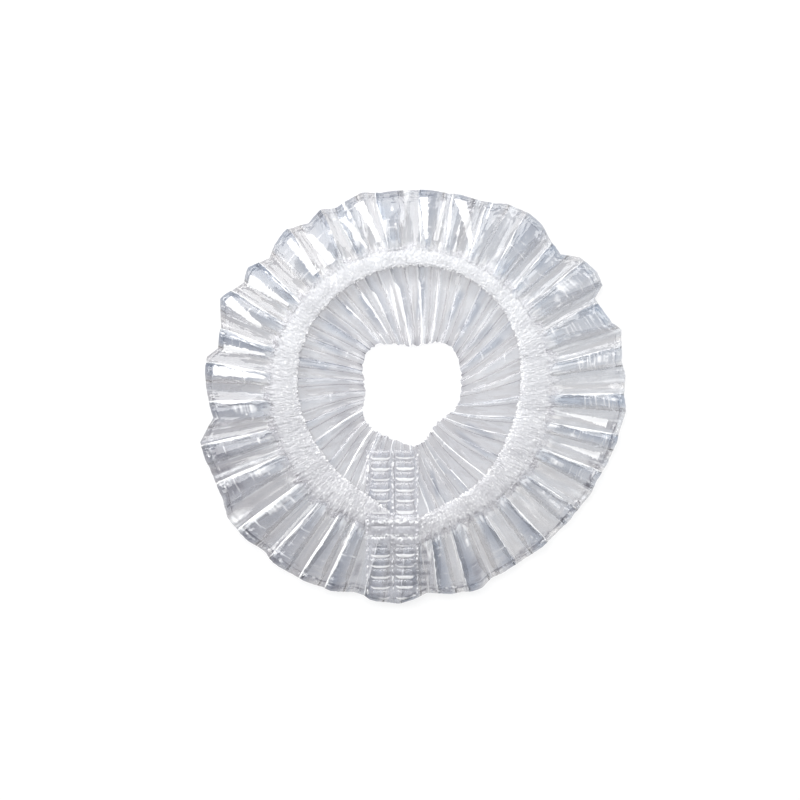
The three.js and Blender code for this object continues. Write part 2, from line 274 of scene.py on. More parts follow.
def noise(x, y, seed):
    """Smooth noise from -1 to 1, with one random value at each whole number."""
    table = np.random.default_rng(seed).uniform(-1, 1, (NOISE_SIZE, NOISE_SIZE))
    column = np.floor(x).astype(int)
    row = np.floor(y).astype(int)
    across = smooth(x - column)
    along = smooth(y - row)
    left, right = column % NOISE_SIZE, (column + 1) % NOISE_SIZE
    near, far = row % NOISE_SIZE, (row + 1) % NOISE_SIZE
    low = table[left, near] * (1 - across) + table[right, near] * across
    high = table[left, far] * (1 - across) + table[right, far] * across
    return low * (1 - along) + high * along


def spline(knots, samples):
    """A smooth curve through knots, which lie along the first axis, with samples points to a span."""
    knots = np.asarray(knots)
    before = np.concatenate([2 * knots[:1] - knots[1:2], knots[:-2]])
    after = np.concatenate([knots[2:], 2 * knots[-1:] - knots[-2:-1]])
    points = []
    for t in np.arange(samples) / samples:
        points.append(0.5 * (2 * knots[:-1] + (knots[1:] - before) * t
                             + (2 * before - 5 * knots[:-1] + 4 * knots[1:] - after) * t ** 2
                             + (3 * knots[:-1] - before - 3 * knots[1:] + after) * t ** 3))
    curve = np.stack(points, axis=1).reshape(-1, *knots.shape[1:])
    return np.concatenate([curve, knots[-1:]])


def outward_of(radius, height):
    """Direction out of a section at each of its points, as columns of radius and of height."""
    slope_r = np.gradient(radius)
    slope_z = np.gradient(height)
    size = np.hypot(slope_r, slope_z)
    return (slope_z / size)[:, None], (-slope_r / size)[:, None]


def from_clock(degrees):
    """Angle from +X, in radians, of a place on the clock's face."""
    return np.radians(90 - np.asarray(degrees, float))


def to_clock(angle):
    return (90 - np.degrees(angle)) % 360


def near_clock(angle, clock, spread):
    """1 at a place on the clock's face, and less away from it, over spread degrees."""
    away = (90 - np.degrees(angle) - clock + 180) % 360 - 180
    return np.exp(-(away / spread) ** 2)


def turn_between(angle, other):
    """Angle from another one, the short way round."""
    return np.angle(np.exp(1j * (angle - other)))


def outline(angle):
    """Radius of the rim's edge at an angle."""
    return np.interp(to_clock(angle), *np.transpose(OUTLINE), period=360)


def ring(shape, angle):
    """Radius of one of the cap's rings at an angle."""
    mean, waves = shape
    return mean + sum(height * np.cos(turns * (angle - math.radians(crest)))
                      for turns, height, crest in waves)


def seam_bulge(angle):
    return SEAM_BULGE * np.exp(-((to_clock(angle) - SEAM_BULGE_CLOCK) / SEAM_BULGE_SPAN) ** 2)


def place(radius, angle, height):
    """Points of the film, from a radius on a cap whose rings are round."""
    bulge = seam_bulge(angle)
    reaches = [ring(HOLE_RING, angle), ring(MOUTH_RING, angle) + bulge, ring(HEM_RING, angle) + bulge,
               outline(angle)]
    stations = [HOLE_RING[0], MOUTH_RING[0], HEM_RING[0], RIM_EDGE]
    return between(stations, reaches, radius, angle, height)


def place_elastic(radius, angle, height):
    reaches = [ring(ELASTIC_INNER_RING, angle), ring(ELASTIC_OUTER_RING, angle)]
    return between([ELASTIC_INNER_RING[0], ELASTIC_OUTER_RING[0]], reaches, radius, angle, height)


def between(stations, reaches, radius, angle, height):
    """Points whose radius is moved as the rings at the stations are, and in step between them."""
    reach = reaches[0] + np.minimum(radius - stations[0], 0) + np.maximum(radius - stations[-1], 0)
    for i in range(len(stations) - 1):
        share = np.clip((radius - stations[i]) / (stations[i + 1] - stations[i]), 0, 1)
        reach = reach + share * (reaches[i + 1] - reaches[i])
    return np.stack(np.broadcast_arrays(reach * np.cos(angle), reach * np.sin(angle), height), axis=-1)


def grid_piece(name, points, material, closed=False, attributes=None):
    """A sheet over a grid of points, rows by columns, closed round its columns if asked."""
    rows, columns = points.shape[:2]
    index = np.arange(rows * columns).reshape(rows, columns)
    if closed:
        index = np.concatenate([index, index[:, :1]], axis=1)
    faces = np.stack([index[:-1, :-1], index[:-1, 1:], index[1:, 1:], index[1:, :-1]], axis=-1)
    mesh = bpy.data.meshes.new(name)
    mesh.from_pydata((points.reshape(-1, 3) * MM).tolist(), [], faces.reshape(-1, 4).tolist())
    for label, values in (attributes or {}).items():
        layer = mesh.attributes.new(label, "FLOAT", "POINT")
        spread = np.broadcast_to(values, (rows, columns))
        layer.data.foreach_set("value", spread.ravel().astype(np.float32))
    mesh.polygons.foreach_set("use_smooth", np.ones(len(mesh.polygons), dtype=bool))
    mesh.materials.append(material)
    piece = bpy.data.objects.new(name, mesh)
    bpy.context.scene.collection.objects.link(piece)
    return piece


# Materials

def new_material(name):
    material = bpy.data.materials.new(name)
    material.use_nodes = True
    material.node_tree.nodes.clear()
    return material, material.node_tree


def add_node(tree, kind, output, inputs, **settings):
    """Adds a node and returns one of its outputs. Its inputs are numbers, colours or other nodes' outputs."""
    made = tree.nodes.new("ShaderNode" + kind)
    for name, value in settings.items():
        setattr(made, name, value)
    for name, value in inputs.items():
        if isinstance(value, bpy.types.NodeSocket):
            tree.links.new(value, made.inputs[name])
        elif isinstance(value, tuple):
            made.inputs[name].default_value = (*value, 1)
        else:
            made.inputs[name].default_value = value
    return made.outputs[output]


def attribute(tree, name):
    return add_node(tree, "Attribute", "Fac", {}, attribute_name=name)


def mixed(tree, factor, first, second):
    return add_node(tree, "MixRGB", "Color", {"Fac": factor, "Color1": first, "Color2": second})


def combined(tree, operation, first, second, **settings):
    return add_node(tree, "Math", "Value", {0: first, 1: second}, operation=operation, **settings)


def mapped(tree, value, start, end, low, high):
    """A value that runs from start to end, moved to the range from low to high."""
    return add_node(tree, "MapRange", "Result", {"Value": value, "From Min": start, "From Max": end,
                                             "To Min": low, "To Max": high})


def texture(tree, scale, detail):
    place_of = add_node(tree, "TexCoord", "Object", {})
    return add_node(tree, "TexNoise", "Fac", {"Scale": scale, "Detail": detail, "Vector": place_of})


def bumped(tree, height, strength, depth):
    return add_node(tree, "Bump", "Normal", {"Height": height, "Strength": strength, "Distance": depth})


def blended(tree, share, first, second):
    return add_node(tree, "MixShader", "Shader", {"Fac": share, 1: first, 2: second})


def use_surface(tree, shader):
    output = tree.nodes.new("ShaderNodeOutputMaterial")
    tree.links.new(shader, output.inputs["Surface"])


def film_material(name, tints, hazes, haze, gloss, roughness, bump_scale, bump_strength, grain):
    """Clear film: it lets the ground show through, and adds some haze and a gloss.

    tints and hazes hold two colours each, which the film's "tone" mixes; the second of each is painted shade,
    which on the skirt and crown is also a painted blue reflection. It is white where its "gleam" is high, as
    painted highlight and on the hem as white grain too, dark with painted shade where its "shade" is, and
    cloudy where its "veil" is. "sheen" is the most that it reflects. grain is how ragged the painted white is.
    """
    material, tree = new_material(name)
    tone = attribute(tree, "tone")
    crinkle = texture(tree, bump_scale, 3)
    bump = bumped(tree, crinkle, bump_strength, FILM_BUMP)
    ragged = add_node(tree, "Math", "Value", {0: crinkle, 1: grain, 2: attribute(tree, "gleam")},
                  operation="MULTIPLY_ADD")
    clear_end = CLEAR_GLEAM + grain / 2
    white_start = CLEAR_GLEAM + WHITE_GLEAM + grain / 2
    # Painted highlight: the film turns white where its gleam is high, and on the hem in white grains too
    frost_and_highlight = mapped(tree, ragged, clear_end, white_start, 0, FROST_AND_HIGHLIGHT_MOST)

    # Painted shade, and on the skirt and crown painted blue reflection, darken what shows through the film
    tint = mixed(tree, attribute(tree, "shade"), mixed(tree, tone, *tints), DARK_TINT_AND_SHADE)
    clear = add_node(tree, "BsdfTransparent", "BSDF", {"Color": tint})
    # The painted highlight is drawn as white cloudy film
    whitened = mixed(tree, frost_and_highlight, mixed(tree, tone, *hazes), FROST_AND_HIGHLIGHT_WHITE)
    cloudy = add_node(tree, "BsdfDiffuse", "BSDF", {"Color": whitened, "Normal": bump})
    cloud = mapped(tree, texture(tree, 60, 4), 0.3, 0.7, *haze)
    veiled = combined(tree, "MAXIMUM", cloud, attribute(tree, "veil"))
    cover = combined(tree, "MAXIMUM", veiled, frost_and_highlight)
    body = blended(tree, cover, clear, cloudy)

    shine = add_node(tree, "BsdfGlossy", "BSDF", {"Normal": bump, "Roughness": roughness})
    facing = add_node(tree, "LayerWeight", "Fresnel", {"Blend": gloss, "Normal": bump})
    most = combined(tree, "MINIMUM", facing, attribute(tree, "sheen"))
    use_surface(tree, blended(tree, most, body, shine))
    return material


def elastic_material():
    material, tree = new_material("elastic_white")
    speckle = texture(tree, 900, 2)
    use_surface(tree, add_node(tree, "BsdfPrincipled", "BSDF", {
        "Base Color": mixed(tree, speckle, *ELASTIC_COLOURS), "Roughness": 0.6,
        "Normal": bumped(tree, speckle, 0.4, ELASTIC_BUMP)}))
    return material


# The second tint and haze of each film are painted shade, and on the skirt and crown also painted blue
# reflection
SKIRT_FILM = film_material(
    "skirt_film", tints=((0.99, 0.985, 0.98), (0.6, 0.66, 0.745)),
    hazes=((0.74, 0.73, 0.73), (0.6, 0.64, 0.7)),
    haze=(0.03, 0.13), gloss=0.42, roughness=0.08, bump_scale=260, bump_strength=0.2, grain=0.12)
CROWN_FILM = film_material(
    "crown_film_clear", tints=((0.99, 0.985, 0.985), (0.58, 0.62, 0.69)),
    hazes=((0.72, 0.71, 0.72), (0.62, 0.65, 0.7)),
    haze=(0.04, 0.14), gloss=0.38, roughness=0.08, bump_scale=260, bump_strength=0.2, grain=0.12)
HEM_FILM = film_material(
    "hem_film", tints=((0.97, 0.965, 0.975), (0.86, 0.855, 0.87)),
    hazes=((0.735, 0.745, 0.77), (0.58, 0.575, 0.6)),
    haze=(0.06, 0.2), gloss=0.3, roughness=0.25, bump_scale=800, bump_strength=0.35, grain=0.9)
WELD_FILM = film_material(
    "weld_film", tints=((0.95, 0.95, 0.965), (0.6, 0.61, 0.66)), hazes=((0.7, 0.7, 0.73), (0.55, 0.56, 0.6)),
    haze=(0.16, 0.3), gloss=0.4, roughness=0.1, bump_scale=500, bump_strength=0.3, grain=0.2)
ELASTIC = elastic_material()


# Pleats: each is a raised strip with its edges folded under it, and a trough to the next strip

rng = np.random.default_rng(7)
STRIPS = [strip for panel in PANEL_STRIPS for strip in panel]
PLEATS = len(STRIPS)
FIRST_STRIP = np.cumsum([0] + [len(panel) for panel in PANEL_STRIPS])
STRIP_TILT = rng.uniform(-0.5, 0.5, PLEATS)
STRIP_HEIGHT = rng.uniform(0.85, 1.2, PLEATS)
TROUGH_DIP = rng.uniform(0.4, 1.2, PLEATS)


def strip_centre(pleat):
    """Angle of the middle of a strip. Strips are counted from the seam, against the clock."""
    turns, number = divmod(pleat, PLEATS)
    angle = float(from_clock(STRIPS[number][0]))
    while angle < SEAM_ANGLE - PANEL_TURN / 2:
        angle += 2 * math.pi
    return angle + 2 * math.pi * turns


def add_strip(knots, strip):
    """A raised strip: fold, flank, top, flank and fold. The last number of a knot is its band."""
    centre, half, fold, under = strip.centre, strip.half, strip.fold, strip.under
    flat = half - strip.flank
    for side in (-1, 1):
        edge = strip.top - strip.rise + side * strip.tilt
        crest = strip.top + side * strip.tilt
        ends = [
            (centre + side * (half - fold), under, 0.4),
            (centre + side * half, 0.5 * (under + edge), 0.7),
            (centre + side * (half - 0.4 * fold), edge, 1),
            (centre + side * flat, crest, 1),
            (centre + side * 0.7 * flat, crest + 0.5 * strip.bulge, 1),
            (centre + side * 0.35 * flat, crest + 0.9 * strip.bulge, 1),
        ]
        knots += ends if side < 0 else ends[::-1]


def add_trough(knots, strip, after, tuck, dip):
    """The film comes out from under one strip, crosses the trough and goes in under the next."""
    left_edge = strip.centre + strip.half
    right_edge = after.centre - after.half
    gap = right_edge - left_edge
    left = left_edge - tuck * strip.half
    right = right_edge + tuck * after.half
    out = [(strip.fold, 0.8, 0.2), (0, 0.5, 0.1), (strip.fold, 0.15, 0)]
    knots += [(left + step, share * strip.under, band) for step, share, band in out]
    knots += [(left_edge + share * gap, -depth * dip, 0) for share, depth in TROUGH_SHAPE]
    knots += [(right - step, share * after.under, band) for step, share, band in out[::-1]]


def smooth_section(knots, shape, samples):
    """Angle, height and band of each point, rows by columns."""
    table = [np.stack([np.broadcast_to(value, shape) for value in knot], axis=-1) for knot in knots]
    curve = spline(np.stack(table), samples)
    return curve[..., 0].T, curve[..., 1].T, np.clip(curve[..., 2].T, 0, 1)


def over_strip(strip, angle, band):
    """Where the film is the top of a strip, and where it lies in a trough beneath it."""
    away = np.abs(angle - np.reshape(strip.centre, (-1, 1)))
    half = strip.half[:, None]
    return (band > TOP_BAND) & (away < 1.02 * half), (band < UNDER_BAND) & (away < half)


def across_pleat(strip, angle):
    """Place across a strip: 0 at the edge that faces the window, 1 at the other."""
    half = strip.half[:, None]
    centre = np.reshape(strip.centre, (-1, 1))
    side = np.sign(np.sin(from_clock(WINDOW_CLOCK) - centre))
    return 0.5 - 0.5 * side * (angle - centre) / half


# Light on the film, as sheen, gleam, which is painted highlight, and noises from -1 to 1

def flat_sheen(angle, radius, lift):
    """How much the film may reflect: less where it turns down into a fold."""
    across = np.gradient(angle, axis=1) * radius[:, None]
    flatness = np.abs(across) / np.hypot(across, np.gradient(lift, axis=1) + 1e-9)
    return FILM_SHEEN * smooth((flatness - 0.72) / 0.24)


def edge_line(strip, angle, radius, width, fade, reach):
    """Painted highlight, high on the edge of a strip that faces the window, as wide as width says, and fading
    from it by fade over reach."""
    inset = across_pleat(strip, angle) * 2 * strip.half[:, None] * radius[:, None]
    sheen = CLEAR_GLEAM + WHITE_GLEAM * fade * np.exp(-np.maximum(inset, 0) / reach)
    return np.maximum(0.5 + (width - inset) / 1.2, sheen)


def streaks(angle, along, seed):
    """Fine lines along the pleats."""
    broad = noise(angle * 110, along / 30, seed)
    return 0.6 * broad + 0.4 * noise(angle * 240, along / 18, seed + 1)


def cross_lines(angle, along, seed):
    """Fine lines across the pleats."""
    return noise(angle * 14, along / 0.9, seed)


def thin_lines(angle, along, seed):
    """A few soft threads of painted highlight along the pleats, with breaks in them, as a gleam."""
    wander = noise(angle * 30, along / 70, seed)
    breaks = noise(angle * 30, along / 14, seed + 1)
    return 0.46 + 0.1 * breaks - 1.5 * np.abs(wander)


def soft_patches(patches, angle, along, arm, lean, power):
    """Patches, from 0 to 1, which lean. Widths are at a radius of arm, and power makes the ends firm."""
    most = 0 * angle
    for clock, middle, length, width in patches:
        away = turn_between(angle, from_clock(clock)) * arm
        lengthwise = (along - middle - lean * away) / length
        most = np.maximum(most, np.exp(-(away / width) ** 4 - lengthwise ** power))
    return most


def skirt_patches(patches, angle, along):
    """Patches of painted highlight and of painted shade on the skirt, with fine lines across them."""
    lines = 0.8 + 0.4 * cross_lines(angle, along, 70)
    return soft_patches(patches, angle, along, RIM_RADIUS, 0.3, 4) * lines


def highlight_wedges(angle, radius, along):
    """Gleam of the wedges of painted highlight, whose edges are cut by fine lines across them."""
    teeth = 0.7 * cross_lines(angle, along, 71)
    gleam = 0 * angle
    for clock, end_clock, start, end, width, end_width in HIGHLIGHT_WEDGES:
        share = (along - start) / (end - start)
        middle = from_clock(clock) - np.radians(end_clock - clock) * share
        away = np.abs(turn_between(angle, middle)) * radius[:, None]
        half = width + (end_width - width) * share
        inside = half + teeth * np.clip(half / 2, 0, 1) - away
        ends = np.minimum(share, 1 - share) * abs(end - start)
        gleam = np.maximum(gleam, 0.5 + np.minimum(inside, ends) / 0.9)
    return gleam


# The skirt, in rows from under the rim, round its fold and in to the hem

def skirt_rows():
    """Radius, height and outward direction of each row, its distance from the rim's edge, its share of the
    way to the hem, and how far it lies on the under side, from 0 to 1."""
    turns = np.radians(np.linspace(*RIM_TURN, RIM_ROWS))
    half_height = (RIM_TOP - RIM_BOTTOM) / 2
    rim_radius = RIM_RADIUS - RIM_CURL + RIM_CURL * np.cos(turns)
    rim_height = RIM_BOTTOM + half_height + half_height * np.sin(turns)
    fine = np.arange(FINE_STEP, FINE_LENGTH, FINE_STEP)
    inward = np.concatenate([fine, np.arange(FINE_LENGTH, SKIRT_LENGTH, COARSE_STEP)])
    share = inward / SKIRT_LENGTH
    skirt_height = RIM_TOP + (HEM_FILM_HEIGHT - RIM_TOP) * share + SKIRT_DOME * np.sin(math.pi * share)
    radius = np.concatenate([rim_radius, RIM_RADIUS - RIM_CURL - inward])
    height = np.concatenate([rim_height, skirt_height])
    distance = np.concatenate([-np.cos(turns) * RIM_CURL, inward])
    low = np.concatenate([np.clip(-np.sin(turns) * 0.5 + 0.5, 0, 1), 0 * inward])
    return SimpleNamespace(radius=radius, height=height, outward=outward_of(radius, height), low=low,
                           distance=distance, share=np.clip(distance / SKIRT_LENGTH, 0, 1))


def skirt_strip(pleat, rows):
    number = pleat % PLEATS
    radius, share = rows.radius, rows.share
    width = math.radians(STRIPS[number][1]) * RIM_RADIUS
    near_rim = 1 - smooth(share / 0.3)
    height = STRIP_HEIGHT[number] * (1 - 0.8 * smooth(rows.low / 0.5))
    top = (2.4 - 0.9 * smooth(share * 1.5 - 0.5)) * height * (1 - 0.75 * smooth((share - 0.8) / 0.2))
    taper = 0.3 + 0.2 * max(0, math.sin(strip_centre(pleat)))
    return SimpleNamespace(
        centre=strip_centre(pleat), half=0.5 * (width * (1 - taper * smooth(share))) / radius,
        top=top, under=0.4 * top, bulge=(0.3 + 0.5 * (1 - share) ** 2) * height,
        tilt=STRIP_TILT[number] * (1 - 0.6 * share), fold=FOLD_RADIUS * (1 + near_rim) / radius,
        flank=(1.1 + 1.4 * (1 - share)) / radius, rise=(0.5 + 0.6 * (1 - share)) * height)


def skirt_section(pleats, rows):
    """Angle, lift and band of the film over some pleats, which ends under the strip after them."""
    share = rows.share
    tuck = 0.5 - 0.3 * (1 - smooth(share / 0.25))
    first = skirt_strip(pleats[0], rows)
    knots = [(first.centre - first.half + tuck * first.half, 0.9 * first.under, 0.3)]
    for pleat in pleats:
        strip = skirt_strip(pleat, rows)
        after = skirt_strip(pleat + 1, rows)
        dip = TROUGH_DIP[pleat % PLEATS] * (1 - 0.7 * share) * (1 - rows.low)
        add_strip(knots, strip)
        add_trough(knots, strip, after, tuck, dip)
    knots = knots[:-3]
    end = after.centre - after.half + (0.4 + 0.9 * share) * after.half
    knots.append((end, 0.15 * after.under, 0))
    return smooth_section(knots, rows.radius.shape, 3)


def strip_creases(choice, across, along, reach):
    """Gleam of a few creases across a strip, as painted highlight."""
    gleam = 0 * across
    for start in choice.choice(np.arange(4, 34, 2), choice.integers(3, 7), replace=False):
        lean = choice.uniform(-0.1, 0.1)
        ends = choice.uniform(-1, -0.2) * reach, choice.uniform(0.3, 1) * reach
        crease = choice.uniform(0.42, 0.58) - np.abs(along - start - lean * across) / 2.4
        gleam = np.maximum(gleam, np.where((across > ends[0]) & (across < ends[1]), crease, 0))
    return gleam


def strip_wedges(choice, across, along, reach, north, ragged):
    """Gleam of two wedges of painted highlight along a strip: one narrows inwards, and the other widens."""
    gleam = 0 * across
    for wedge in range(2):
        start, length = choice.uniform(-8, -2), choice.uniform(26, 48)
        middle = choice.uniform(-0.8, 0.7) * reach + choice.uniform(-0.12, 0.12) * along
        inward = np.clip((along - start) / length, 0, 1)
        taper = (1 - inward) ** 0.6 if wedge == 0 else inward ** 0.8
        half_width = choice.uniform(-0.4, 1.3) * north * taper
        soft = np.where(across > middle, 0.8, choice.uniform(0.8, 3))
        gleam = np.maximum(gleam, 0.5 + (half_width - 0.5 + 0.5 * ragged - np.abs(across - middle)) / soft)
    return gleam


def strip_glints(choice, across, along, reach, east, ragged):
    """Gleam of short creases near the rim and of soft glints, both on the strips in the east, as painted
    highlight.
    """
    gleam = 0 * across
    for start in np.arange(3, 24, 2.2) + choice.uniform(-0.6, 0.6, 10):
        crease = choice.uniform(0.3, 0.5) * east - np.abs(along - start - 0.06 * across) / 3
        gleam = np.maximum(gleam, 0.1 + crease * (np.abs(across) < choice.uniform(0.4, 1) * reach))
    for glint in range(3):
        grow = 2.2 if glint == 0 else 1
        spot = np.hypot((across - choice.uniform(-0.9, 0.9) * reach / grow) / (grow * choice.uniform(1, 2.4)),
                        (along - choice.uniform(3, 38)) / choice.uniform(2.5, 9))
        peak = 0.18 * east * (1 - spot) / (1 if glint else 1.3)
        gleam = np.maximum(gleam, 0.33 + peak + 0.16 * ragged * np.clip(1.2 - spot, 0, 1))
    return gleam


def skirt_light(pleat, strip, angle, rows):
    """Tone and gleam on top of one strip: the edge towards the window is white with painted highlight, and the
    film beside it is blue with painted reflection and shade, with painted highlight in creases, wedges, glints
    and patches."""
    number = pleat % PLEATS
    choice = np.random.default_rng(100 + number)
    centre = strip_centre(pleat)
    along = rows.distance[:, None]
    facing = abs(math.sin(float(from_clock(WINDOW_CLOCK)) - centre))
    low = max(0, -math.sin(centre))
    calm = near_clock(centre, GLINT_CLOCK - 20, 40)
    # Painted highlight along the edge that faces the window, widest partway in
    widest = choice.uniform(0.3, 0.5)
    swell = 0.2 + 0.5 * low + (2 - 0.7 * low) * np.exp(-((rows.share - widest) / 0.27) ** 2)
    width = (0.2 + 0.8 * facing) * choice.uniform(0.55, 1.2) * swell[:, None] * (1 - 0.8 * calm)
    width = width + 0.3 * noise(along / 2.5, number, 42)
    fade = facing * choice.uniform(0.3, 0.8) * (1 - 0.6 * calm)
    gleam = edge_line(strip, angle, rows.radius, width, fade, choice.uniform(1, 3.5))
    # A fainter painted highlight along the far edge
    inset = across_pleat(strip, angle)
    far = (1 - inset) * 2 * strip.half[:, None] * rows.radius[:, None]
    gleam = np.maximum(gleam, 0.5 + choice.uniform(-0.5, 0.15) - far / 1.4)

    across = (angle - centre) * rows.radius[:, None]
    reach = 0.5 * math.radians(STRIPS[number][1]) * RIM_RADIUS
    north = max(0, 0.3 + 0.7 * math.cos(centre - float(from_clock(BRIGHT_CLOCK))))
    north = north * (1 - 0.6 * near_clock(centre, BLUE_REFLECTION_CLOCK + 10, 25))
    east = max(0, math.cos(centre - float(from_clock(GLINT_CLOCK))))
    ragged = noise(across / 1.1, along / 2.5, 43)
    strip_place = (choice, across, along, reach)
    gleam = np.maximum(gleam, strip_creases(*strip_place))
    gleam = np.maximum(gleam, strip_wedges(*strip_place, north, ragged))
    gleam = np.maximum(gleam, strip_glints(*strip_place, east, ragged))
    # Painted highlight in patches, most on the side of the cap that faces the light
    patch = noise(across / 3 + 9.7 * number, along / 24, 41) + 0.2 * ragged + 0.75 * north - 1.5
    patch = patch - 0.9 * (1 - smooth(along / 16))
    gleam = np.maximum(gleam, 0.5 + 0.4 * patch)

    # Painted blue reflection and shade, darkest beside the highlighted edge
    depth = choice.uniform(0.45, 0.95) * (1 - 0.35 * near_clock(centre, BLUE_REFLECTION_CLOCK, 40))
    depth = depth * (1 + 0.4 * low - 0.2 * near_clock(centre, BRIGHT_CLOCK, 30))
    depth = depth + 0.4 * noise(along / 12, 3.1 * number, 47)
    return depth * np.clip(1.05 - inset, 0, 1), gleam


def skirt_sides(angle, along, share):
    """Noises over the skirt, and how far each place is on its side of painted highlight, of painted grey
    shade, its lower side, and its sides of painted blue reflection and painted glints.
    """
    north = np.clip(0.3 + 0.7 * np.cos(angle - from_clock(BRIGHT_CLOCK)), 0, 1)
    rimward = 1 - share
    # Painted shade: greyer on its own side of the cap and towards the rim, also on the lit side, and near the
    # rim at twelve o'clock
    painted_shade = near_clock(angle, SHADE_CLOCK, 52) * (0.15 + 0.28 * rimward) + 0.16 * north * rimward
    painted_shade = painted_shade + 0.16 * near_clock(angle, 0, 40) * (1 - smooth(along / 16))
    return SimpleNamespace(
        north=north, painted_shade=painted_shade, south=smooth(0.4 - 0.9 * np.sin(angle)),
        blue=np.clip(np.cos(angle - from_clock(BLUE_REFLECTION_CLOCK)), 0, 1), east=near_clock(angle, GLINT_CLOCK, 45),
        fine=streaks(angle, along, 50), broad=noise(angle * 36, along / 40, 54))


def skirt_troughs(side, angle, along, band):
    """Tone, gleam and grey of the film in the troughs: painted blue reflection, soft painted highlight and
    painted shade, which change with the side of the cap, and noise.
    """
    trough = 1 - smooth(band / TROUGH_BAND)
    # Painted blue reflection, most on the blue side, with noise
    tone = 0.12 + 0.28 * side.blue - 0.1 * side.east - 0.08 * side.north
    tone = tone + (0.15 * side.fine + 0.22 * side.broad) * (1 + 0.5 * side.south)
    # Soft painted highlight in the troughs, with threads of it
    soft_highlight = 0.29 + (0.16 - 0.05 * side.north + 0.05 * side.south) * side.fine + 0.12 * side.broad
    soft_highlight = soft_highlight + 0.09 * side.blue + 0.06 * side.east
    gleam = np.maximum(soft_highlight, thin_lines(angle, along, 56) + 0.05 * side.south)
    # Painted shade, most on the shaded side and least on the lit side, with noise
    grey = 0.1 - 0.07 * side.north - 0.08 * side.broad * (1 + side.south) - 0.05 * side.east
    grey = grey - 0.05 * side.south + side.painted_shade
    return tone * trough, gleam * trough, grey * trough


def skirt_look(pleats, angle, lift, band, rows):
    """The film's attributes over some pleats."""
    along, share = rows.distance[:, None], rows.share[:, None]
    side = skirt_sides(angle, along, share)
    # Patches of painted highlight
    pale_highlight = skirt_patches(HIGHLIGHT_PATCHES, angle, along)
    tone, gleam, grey = skirt_troughs(side, angle, along, band)
    hidden = (band > TROUGH_BAND) & (band < TOP_BAND)
    for pleat in pleats:
        strip = skirt_strip(pleat, rows)
        on_top, beneath = over_strip(strip, angle, band)
        strip_tone, strip_gleam = skirt_light(pleat, strip, angle, rows)
        # Painted blue reflection on the strips, less on the lower side
        strip_reflection_tone = 0.1 + 0.1 * side.blue + strip_tone * (1 - 0.4 * side.south)
        tone = np.where(on_top, strip_reflection_tone + 0.12 * side.fine + 0.12 * side.broad, tone)
        strip_gleam = np.maximum(strip_gleam, 0.28 + (0.14 + 0.08 * side.south) * side.fine)
        gleam = np.where(on_top, np.maximum(strip_gleam, 0.3 + 0.3 * pale_highlight), gleam)
        # Painted shade on the strips, greyest on the shaded and lower sides
        grey = np.where(on_top, 0.03 + side.painted_shade + 0.36 * side.south * strip_tone, grey)
        grey = np.where(beneath, 0, grey)
        hidden = hidden | beneath
    gleam = np.where(hidden, gleam, np.maximum(gleam, highlight_wedges(angle, rows.radius, along)))

    # Painted shade in a crinkled band along the rim on the lower side, and in patches
    at_rim = side.south * smooth(1 - np.abs(along - 1) / 5)
    crinkle = noise(angle * 12, along / 0.9, 44) + 0.7 * noise(angle * 60, along / 1.6, 45)
    shade = np.maximum(at_rim * np.clip(0.5 + 0.7 * crinkle, 0, 1) * ~hidden, grey)
    shade = shade + 0.5 * skirt_patches(SHADE_PATCHES, angle, along) * ~hidden
    # Painted glints on the crinkles along that band
    rim_glints = noise(angle * 80, along / 1.1, 66) + 0.5 * crinkle
    gleam = np.maximum(gleam, 0.36 + 0.3 * at_rim * (rim_glints - 0.3))
    # Fine creases across the strips on the lower side, drawn as painted shade and painted highlight
    hatch = cross_lines(angle, along, 62) * side.south * (1 - smooth(along / 30)) * (band > TOP_BAND)
    tone = tone + 0.25 * hatch

    # Cloudy film towards the hem, less of it on the side of painted shade, with painted highlight brighter on
    # the lit side
    gathers = noise(angle * 95, along / 6, 63)
    veil = 1.2 * VEIL_MOST * smooth((share - 0.73 + 0.1 * gathers) / 0.24)
    veil = veil * (1 - 0.35 * near_clock(angle, SHADE_CLOCK, 40))
    gleam = gleam + 0.06 * hatch + 0.1 * veil * (gathers + 0.6 * side.north)
    sheen = flat_sheen(angle, rows.radius, lift)
    sheen = sheen * (1 - 0.6 * near_clock(angle, BRIGHT_CLOCK, 50) * (1 - smooth(along / 16)))
    return {"tone": np.clip(tone, 0, 1), "gleam": gleam, "shade": np.clip(shade, 0, 1), "sheen": sheen,
            "veil": veil}


def skirt_panel(index, rows):
    pleats = range(FIRST_STRIP[index], FIRST_STRIP[index + 1])
    angle, lift, band = skirt_section(pleats, rows)
    look = skirt_look(pleats, angle, lift, band, rows)
    along, radius = rows.distance[:, None], rows.radius[:, None]
    crumple = noise(angle * 75, along / 1.8, 11) * 0.5 * (1 - smooth(along / 9))
    wrinkle = noise(angle * 90, radius / 9, 12) * 0.2
    lift = lift + crumple + wrinkle
    outward_r, outward_z = rows.outward
    points = place(radius + RIM_RELIEF * outward_r * lift, angle, rows.height[:, None] + outward_z * lift)
    return grid_piece(f"skirt_film_{index + 1:02d}", points, SKIRT_FILM, attributes=look)


# The crown, seen through the mouth: the same pleats, which turn as they run in to the hole

def inward_share(radius):
    """Share of the way from the mouth in to the hole."""
    return np.clip((MOUTH_RING[0] - radius) / (MOUTH_RING[0] - HOLE_RING[0]), 0, 1)


